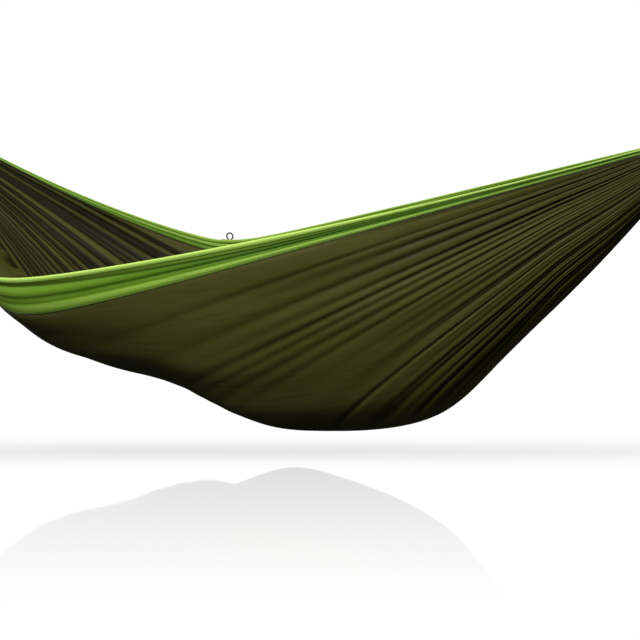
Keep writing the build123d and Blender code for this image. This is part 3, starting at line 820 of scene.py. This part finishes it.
def make_sleeve(end):
    """The sleeve, closed at its open end by the cloth bunched inside it, and its thread."""
    along = np.linspace(SLEEVE_FROM, SLEEVE_TO, SLEEVE_RINGS)[:, None]
    along, angle = np.broadcast_arrays(along, circle(SLEEVE_POINTS)[None, :])
    points, ripple = sleeve_surface(end, along, angle)
    hub = end.mouth[0] + end.pull * 2 * SLEEVE_GRIP
    points = np.concatenate([points.reshape(-1, 3), hub[None]])
    faces = grid_faces(SLEEVE_RINGS, SLEEVE_POINTS, True)
    faces += [[(k + 1) % SLEEVE_POINTS, k, len(points) - 1] for k in range(SLEEVE_POINTS)]
    uv = np.stack([angle / (2 * math.pi) * CLOTH_WIDTH, along], -1).reshape(-1, 2)
    uv = np.concatenate([uv, [[0.0, 0.0]]])
    # Painted shade in the puckers' creases, and full painted shade on the bunched cloth in the mouth.
    fold = np.append(0.12 + 0.55 * ripple, 0.0)
    obj = piece(f"{end.side}_sleeve_cloth", points, faces, MATERIALS["olive_nylon"], uv, {"fold": fold})
    attach(obj, "hammock", f"{end.side}_end_sleeve")

    rings = []
    for place in SLEEVE_SEAMS:
        along = np.full(SLEEVE_SEAM_POINTS, place)
        ring, _ = sleeve_surface(end, along, circle(SLEEVE_SEAM_POINTS), 0.0004)
        rings.append((ring, ring - ring.mean(0)))
    make_thread(f"{end.side}_sleeve_thread", f"{end.side}_end_stitching", "olive_thread", rings, True)


for sleeve_end in ends:
    make_sleeve(sleeve_end)


# ---- braided cords
def rounded(corners, radii, closed, steps=14):
    """A flat polyline with its corners rounded; each radius belongs to a corner, ends excepted."""
    corners = [np.array(c, float) for c in corners]
    path = []
    for i, corner in enumerate(corners):
        if not closed and i in (0, len(corners) - 1):
            path.append(corner)
            continue
        radius = radii[i]
        back = unit(corners[i - 1] - corner)
        ahead = unit(corners[(i + 1) % len(corners)] - corner)
        half = math.acos(float(np.clip(back @ ahead, -1, 1))) / 2
        center = corner + unit(back + ahead) * radius / math.sin(half)
        start = corner + back * radius / math.tan(half) - center
        stop = corner + ahead * radius / math.tan(half) - center
        for k in range(steps + 1):
            blend = start + (stop - start) * k / steps
            path.append(center + unit(blend) * radius)
    return np.array(path)


def braided_tube(path, radius, closed, around=28, lobes=8, pitch=0.009):
    """Vertices, faces and strand flecks of a braided cord along a path of points.

    pitch is the run over which the braid repeats, and lobes the number of its strands each way.
    """
    path = evenly(path, radius * 0.32, closed)
    if closed:
        heading = unit(np.roll(path, -1, 0) - np.roll(path, 1, 0))
    else:
        heading = unit(np.gradient(path, axis=0))
    # side stands square to the cord and is carried along it without twisting.
    side = np.empty_like(path)
    last = unit(np.cross(heading[0], np.array([0.3, 0.2, 0.9])))
    for i, h in enumerate(heading):
        last = unit(last - h * (last @ h))
        side[i] = last
    up = np.cross(heading, side)
    angle = circle(around)[None, :]
    turn = 2 * math.pi * walk(path)[:, None] / pitch
    left_lay = np.sin(lobes / 2 * angle + turn)
    right_lay = np.sin(lobes / 2 * angle - turn)
    swell = radius * (0.92 + 0.07 * np.maximum(np.abs(left_lay), np.abs(right_lay)))
    points = (
        path[:, None]
        + swell[..., None] * np.cos(angle)[..., None] * side[:, None]
        + swell[..., None] * np.sin(angle)[..., None] * up[:, None]
    )
    fleck = smoothstep(0.75, 0.95, left_lay) * (np.abs(left_lay) > np.abs(right_lay))
    faces = grid_faces(len(path), around, True)
    ring = np.arange(around)
    last_ring = (len(path) - 1) * around + ring
    if closed:
        shift = int(np.argmin(((points[0] - points[-1][0]) ** 2).sum(1)))
        first_ring = (ring + shift) % around
        join = np.stack([last_ring, np.roll(last_ring, -1), np.roll(first_ring, -1), first_ring], 1)
        return points.reshape(-1, 3), faces + join.tolist(), fleck.ravel()
    hubs = np.array([path[0] - heading[0] * radius * 0.35, path[-1] + heading[-1] * radius * 0.35])
    for hub, end_ring in enumerate((ring, last_ring), len(path) * around):
        cap = np.stack([end_ring, np.roll(end_ring, -1), np.full(around, hub)], 1)
        faces += cap.tolist()
    return np.concatenate([points.reshape(-1, 3), hubs]), faces, np.append(fleck.ravel(), [0, 0])


def cord_piece(name, parts, body, node):
    """One black cord made of one or more braided tubes."""
    vertices, faces, flecks = [], [], []
    for part_vertices, part_faces, part_flecks in parts:
        start = len(vertices)
        vertices.extend(part_vertices)
        faces.extend([index + start for index in face] for face in part_faces)
        flecks.extend(part_flecks)
    obj = piece(name, vertices, faces, MATERIALS["black_cord"], values={"fleck": flecks})
    attach(obj, body, node)


ROPE = 0.003  # rope radius
ROPE_CORNER = 0.016  # centre-line radii of the loop's corners and tip
ROPE_TIP = 0.015
ROPE_BASE = 0.0057  # how far the loop's base corners, before rounding, stand outside the rounded ones
KNOT_AT = 0.052  # the knot's place along the pull
KNOT_TURNS = 3
KNOT_STEPS = 26  # points in each turn
KNOT_PACKING = 0.95  # the spacing of its turns, in rope widths
KNOT_REACH = 1.72  # its centre line's radius, in rope radii
TAIL = (0.001, 0.020)  # from where to where the tail runs past the last turn


def make_rope(end):
    """The braided loop from the sleeve to the carabiner, with its knot."""
    low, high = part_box(f"{end.side}_rope_loop")
    base_half = (high.y - low.y) / 2 - ROPE + ROPE_BASE
    reach = float(np.linalg.norm(end.bearing - end.origin)) + ROPE
    # sharp is the tip's corner before rounding: rounded off, it comes back to reach.
    sharp = reach
    for _ in range(30):
        sharp = reach + ROPE_TIP * (1 / math.sin(math.atan2(base_half, sharp)) - 1)
    flat = rounded(
        [(0, base_half), (sharp, 0), (0, -base_half)], (ROPE_CORNER, ROPE_TIP, ROPE_CORNER), True
    )
    loop = end.at(flat[:, 0], flat[:, 1])

    # The knot is three turns of the rope round its near leg, with a short tail.
    leg = unit(np.array([sharp, base_half]))
    foot = np.array([0, -base_half]) + leg * (KNOT_AT / leg[0])
    turns = np.linspace(0, 2 * math.pi * KNOT_TURNS, KNOT_STEPS * KNOT_TURNS)
    climb = (turns / (2 * math.pi) - KNOT_TURNS / 2) * 2 * ROPE * KNOT_PACKING
    out = KNOT_REACH * ROPE
    side = np.array([-leg[1], leg[0]])
    along = foot[0] + leg[0] * climb + side[0] * out * np.cos(turns)
    across = foot[1] + leg[1] * climb + side[1] * out * np.cos(turns)
    knot = end.at(along, across, out * np.sin(turns))
    tail = knot[-1] + np.outer(np.linspace(*TAIL, 8), unit(knot[-1] - knot[-2]))
    parts = [
        braided_tube(loop, ROPE, True),
        braided_tube(np.vstack([knot, tail]), ROPE * 0.98, False),
    ]
    cord_piece(f"{end.side}_braided_rope", parts, f"{end.side}_loop", f"{end.side}_rope_loop")


for rope_end in ends:
    make_rope(rope_end)


CORD = 0.0024  # drawcord radius
LEG_AT = 0.0028  # half the spacing of its two legs
ARCH_FOOT = 0.028  # straight legs end this far below the arch's top
ARCH_BEND = 0.004  # centre-line radius where a leg turns outwards, and again where it turns up
ARCH_RISE = 0.014  # from the legs' end up to where the arch is widest


def make_drawcord():
    """The pouch's cord: two legs that rise through the lock and open out into the arch."""
    low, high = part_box("sack_drawcord")
    middle_x, middle_y = (low.x + high.x) / 2, (low.y + high.y) / 2
    half = (high.x - low.x) / 2 - CORD
    top = high.z - CORD
    left = [
        (-LEG_AT, low.z),
        (-LEG_AT, top - ARCH_FOOT + ARCH_BEND),
        (-half, top - ARCH_FOOT + ARCH_RISE),
        (-half, top),
    ]
    radii = [0, ARCH_BEND, ARCH_BEND, half * 0.98]
    right = [(-x, z) for x, z in reversed(left)]
    flat = rounded(left + right, radii + radii[::-1], False)
    path = np.stack([middle_x + flat[:, 0], np.full(len(flat), middle_y), flat[:, 1]], 1)
    tube = braided_tube(path, CORD, False, around=24, pitch=0.0066)
    cord_piece("braided_drawcord", [tube], "stuff_sack", "sack_drawcord")


make_drawcord()


# ---- stuff sack
SACK_TAB = 0.053  # length of the tab that joins the sack to the hammock's edge
SACK_TAB_WIDTH = 0.042
SACK_TAB_FACES = (0.0014, 0.0002)  # its two faces, out from the hammock's edge
SACK_TAB_BEND = 0.0095  # its lower end leans this far outwards, to the sack's middle
SACK_TAB_ROWS = 40
SACK_TAB_COLUMNS = 24
SACK_MOUTH = 0.046  # mouth of the sack below the tab's top
SACK_THICK = 0.0055  # half thickness of the bag before air fills it
SACK_GATHERS = 17  # puckers round its mouth
SACK_COLUMNS = 88
SACK_ROWS = 48
SACK_PUFF = 0.010  # most that the pressure may move the cloth
SACK_STEPS = 20  # frames of the simulation


def sack_bag(low, high):
    """Vertices and faces of a flat closed bag inside the CAD sack's box."""
    top, bottom = high.z - SACK_MOUTH, low.z
    v = np.linspace(0, 1, SACK_ROWS)[:, None]
    turn = circle(SACK_COLUMNS)[None, :]
    half = ((high.x - low.x) / 2 - 0.012 * (1 - v)) * (1 - 0.10 * smoothstep(0.85, 1.0, v) ** 2)
    thick = SACK_THICK * np.sqrt(np.clip(1 - (2 * v - 1) ** 4, 0.02, 1))
    gather = 1 + 0.05 * np.sin(SACK_GATHERS * turn) * (1 - smoothstep(0.0, 0.3, v))
    x = (low.x + high.x) / 2 + half * np.cos(turn)
    y = high.y - 0.006 + thick * np.sin(turn) * gather
    z = top + (bottom - top) * v
    points = np.stack(np.broadcast_arrays(x, y, z), -1).reshape(-1, 3)
    faces = grid_faces(SACK_ROWS, SACK_COLUMNS, True)
    faces.append(list(range(SACK_COLUMNS)))
    faces.append(list(range((SACK_ROWS - 1) * SACK_COLUMNS, SACK_ROWS * SACK_COLUMNS))[::-1])
    return points, faces


def puff(points, faces):
    """The bag's points once air has filled it, by cloth simulation with its mouth held."""
    bag = piece("air_bag", points, faces, MATERIALS["olive_nylon"])
    rest = np.array([v.co for v in bag.data.vertices])
    held = bag.vertex_groups.new(name="held")
    held.add(list(range(SACK_COLUMNS)), 1.0, "REPLACE")
    modifier = bag.modifiers.new("air", "CLOTH")
    settings = modifier.settings
    settings.quality = 6
    settings.mass = 0.1
    settings.use_pressure = True
    settings.uniform_pressure_force = 3.0
    settings.bending_stiffness = 0.05
    settings.tension_stiffness = 20
    settings.compression_stiffness = 8
    settings.shrink_min = -0.04
    settings.vertex_group_mass = "held"
    settings.effector_weights.gravity = 0.0
    modifier.point_cache.frame_start = 1
    modifier.point_cache.frame_end = SACK_STEPS
    scene = bpy.context.scene
    for step in range(1, SACK_STEPS + 1):
        scene.frame_set(step)
    graph = bpy.context.evaluated_depsgraph_get()
    moved = np.array([v.co for v in bag.evaluated_get(graph).data.vertices])
    scene.frame_set(1)
    bpy.data.objects.remove(bag)
    shift = moved - rest
    size = np.linalg.norm(shift, axis=1, keepdims=True)
    return rest + shift * np.minimum(1, SACK_PUFF / np.maximum(size, 1e-9))


def sack_tab(low, high, start):
    """Vertices and faces of the tab, with its vertices numbered from start."""
    rows, columns = SACK_TAB_ROWS, SACK_TAB_COLUMNS
    across = np.linspace(-1, 1, columns)[None, :]
    down = np.linspace(0, 1, rows)[:, None]
    ripple = 0.0004 * np.sin(9 * across + 3 * down) + 0.0003 * np.sin(23 * down)
    bend = SACK_TAB_BEND * smoothstep(0.80, 1.0, down)
    x = (low.x + high.x) / 2 + across * SACK_TAB_WIDTH / 2
    z = high.z - down * SACK_TAB
    points = []
    for out in SACK_TAB_FACES:
        y = low.y + out + ripple + bend
        points.append(np.stack(np.broadcast_arrays(x, y, z), -1).reshape(-1, 3))
    count = rows * columns
    front = grid_faces(rows, columns, start=start)
    rear = [face[::-1] for face in grid_faces(rows, columns, start=start + count)]
    rim = [*range(columns)]
    rim += [r * columns + columns - 1 for r in range(1, rows)]
    rim += [(rows - 1) * columns + c for c in range(columns - 2, -1, -1)]
    rim += [r * columns for r in range(rows - 2, 0, -1)]
    edge = []
    for a, b in zip(rim, rim[1:] + rim[:1]):
        edge.append([start + b, start + a, start + count + a, start + count + b])
    return np.concatenate(points), front + rear + edge


def make_sack():
    """The bag and its tab as one soft piece."""
    low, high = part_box("stuff_sack")
    points, faces = sack_bag(low, high)
    points = puff(points, faces)
    tab_points, tab_faces = sack_tab(low, high, len(points))
    points = np.concatenate([points, tab_points])
    faces += tab_faces
    values = {"fold": np.full(len(points), 0.55)}
    sack = piece("sack_cloth", points, faces, MATERIALS["olive_nylon"], points[:, [0, 2]], values)
    smooth = sack.modifiers.new("smooth", "SUBSURF")
    smooth.levels = 1
    smooth.render_levels = 1
    sack.visible_glossy = False  # keeps the floor's mirror image to the hammock's own outline
    attach(sack, "stuff_sack", "stuff_sack")


make_sack()


# ---- springs
# The body each coil rides on, and the slide of the piece that presses it.
SPRINGS = {
    "left_gate_spring": ("left_gate", "left_plunger_slide"),
    "right_gate_spring": ("right_gate", "right_plunger_slide"),
    "cord_lock_spring": ("cord_lock", "cord_lock_press"),
}


def make_spring(node, body, slide):
    """A spring-steel copy of a CAD coil, riding on a body in the node's place."""
    axis = np.array(joints[slide]["axis"])
    mesh = frame["nodes"][node].data.copy()
    mesh.materials.clear()
    mesh.materials.append(MATERIALS["spring_steel"])
    coil = new_object(f"{node}_coil", mesh)
    places = np.array([vertex.co for vertex in mesh.vertices])
    along = places @ axis
    attach(coil, body, node)
    places[along.argmax()]
    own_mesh(coil)


for spring, (spring_body, spring_slide) in SPRINGS.items():
    make_spring(spring, spring_body, spring_slide)


# ---- the remaining CAD nodes
for row in frame["record"]["subparts"]:
    node = frame["nodes"][row["node"]]
    node.data.materials.clear()
    node.data.materials.append(MATERIALS[row["material_slot"]])


# ---- floor, light and camera
CAMERA_AIM = Vector((0.220, 0.050, -0.608))  # from the middle of the hang points' line
CAMERA_DISTANCE = 3.9
CAMERA_AZIMUTH = math.radians(30)
CAMERA_PITCH = math.radians(10.63)
CAMERA_LENS = 78.8
SURROUND = 0.22  # brightness of the surroundings as a light; the camera sees them white
FLOOR_DROP = 0.066  # floor below the cloth's lowest point
FLOOR_REACH = 60.0
FLOOR_WHITE = 1.03  # its brightness to the camera away from shadow and mirror image
MIRROR = 1.4  # strength of the floor's mirror image under the hammock
MIRROR_FADE = 1.35  # the mirror image has faded out this far in front of it
SHADOW = 0.22  # how much darker the line of shadow is
SHADOW_AHEAD = 0.12  # its distance from below the hammock's middle, towards the camera
SHADOW_LENGTH = 1.7
SHADOW_WIDTH = 0.11
object_middle = (Vector(cad_box[0]) + Vector(cad_box[1])) / 2


def make_floor():
    """A white glossy floor with a faint mirror image and a soft line of shadow under the hammock."""
    n = Nodes("floor")
    n.tree.nodes.remove(n.shader)
    place = n.add("ShaderNodeTexCoord").outputs["Object"]
    turn = (0, 0, CAMERA_AZIMUTH)
    turned = n.add("ShaderNodeMapping", vector_type="TEXTURE", Vector=place, Rotation=turn).outputs[0]
    aside, away, _ = n.add("ShaderNodeSeparateXYZ", Vector=turned).outputs
    length = n.math("POWER", n.math("DIVIDE", aside, SHADOW_LENGTH), 2.0)
    width = n.math("POWER", n.math("DIVIDE", away, SHADOW_WIDTH), 2.0)
    shadow = n.math("EXPONENT", n.math("MULTIPLY", n.math("ADD", length, width), -1.0))
    cloud = n.math("MULTIPLY", n.noise(turned, 1.5), 0.02)
    span = {"Value": away, "From Min": -MIRROR_FADE, "From Max": 0.1, "To Min": 0, "To Max": MIRROR}
    mirror = n.add("ShaderNodeMapRange", interpolation_type="SMOOTHSTEP", **span).outputs["Result"]
    darker = n.math("ADD", n.math("MULTIPLY", shadow, SHADOW), n.math("MULTIPLY", mirror, SURROUND))
    white = n.math("SUBTRACT", FLOOR_WHITE, n.math("ADD", darker, cloud))
    glow = n.add("ShaderNodeEmission", Color=(1, 1, 1, 1), Strength=white)
    gloss = n.add("ShaderNodeBsdfGlossy", Color=mirror, Roughness=0.04)
    seen = n.add("ShaderNodeAddShader")
    n.feed(seen.inputs[0], glow.outputs[0])
    n.feed(seen.inputs[1], gloss.outputs[0])
    dull = n.add("ShaderNodeBsdfDiffuse", Color=(0.05, 0.05, 0.05, 1))
    choose = n.add("ShaderNodeMixShader")
    n.feed(choose.inputs[0], n.add("ShaderNodeLightPath").outputs["Is Camera Ray"])
    n.feed(choose.inputs[1], dull.outputs[0])
    n.feed(choose.inputs[2], seen.outputs[0])
    n.feed(n.tree.nodes["Material Output"].inputs["Surface"], choose.outputs[0])
    corners = [(x * FLOOR_REACH, y * FLOOR_REACH, 0) for x, y in ((-1, -1), (1, -1), (1, 1), (-1, 1))]
    floor = piece("floor", corners, [(0, 1, 2, 3)], n.material)
    ahead = Vector((math.sin(CAMERA_AZIMUTH), -math.cos(CAMERA_AZIMUTH), 0)) * SHADOW_AHEAD
    floor.location = object_middle + ahead
    floor.location.z = cad_box[0][2] - FLOOR_DROP


def area_light(name, offset, size, power, mirrored=True):
    """A round soft lamp that faces the hammock's middle; mirrored lets reflections show it."""
    data = bpy.data.lights.new(name, "AREA")
    data.shape = "DISK"
    data.size = size
    data.energy = power
    light = new_object(name, data)
    light.location = object_middle + Vector(offset)
    light.rotation_euler = (-Vector(offset)).to_track_quat("-Z", "Y").to_euler()
    light.visible_glossy = mirrored


def make_light():
    """White surroundings for the camera, dimmer ones for the light they give, and three soft lamps."""
    world = bpy.data.worlds.new("studio")
    bpy.context.scene.world = world
    world.use_nodes = True
    tree = world.node_tree
    background = tree.nodes["Background"]
    background.inputs["Color"].default_value = (1, 1, 1, 1)
    strength = tree.nodes.new("ShaderNodeMix")
    strength.inputs["A"].default_value = SURROUND
    strength.inputs["B"].default_value = 1.0
    seen = tree.nodes.new("ShaderNodeLightPath").outputs["Is Camera Ray"]
    tree.links.new(seen, strength.inputs["Factor"])
    tree.links.new(strength.outputs[0], background.inputs["Strength"])
    area_light("key", (0.5, -3.0, 2.2), 1.2, 170)
    area_light("top", (-0.4, -0.6, 3.2), 1.6, 40)
    area_light("back", (-0.8, 3.6, 1.4), 2.0, 150, mirrored=False)


def make_camera():
    """The photograph's view: from the right of straight ahead and a little above."""
    hang_middle = (Vector(joints["left_swing"]["pos_m"]) + Vector(joints["right_swing"]["pos_m"])) / 2
    back = Vector(
        (
            math.sin(CAMERA_AZIMUTH) * math.cos(CAMERA_PITCH),
            -math.cos(CAMERA_AZIMUTH) * math.cos(CAMERA_PITCH),
            math.sin(CAMERA_PITCH),
        )
    )
    data = bpy.data.cameras.new("camera")
    data.lens = CAMERA_LENS
    data.sensor_width = 36.0
    camera = new_object("camera", data)
    camera.location = hang_middle + CAMERA_AIM + back * CAMERA_DISTANCE
    camera.rotation_euler = (-back).to_track_quat("-Z", "Y").to_euler()
    bpy.context.scene.camera = camera


make_floor()
make_light()
make_camera()
bpy.context.scene.view_settings.view_transform = "Standard"
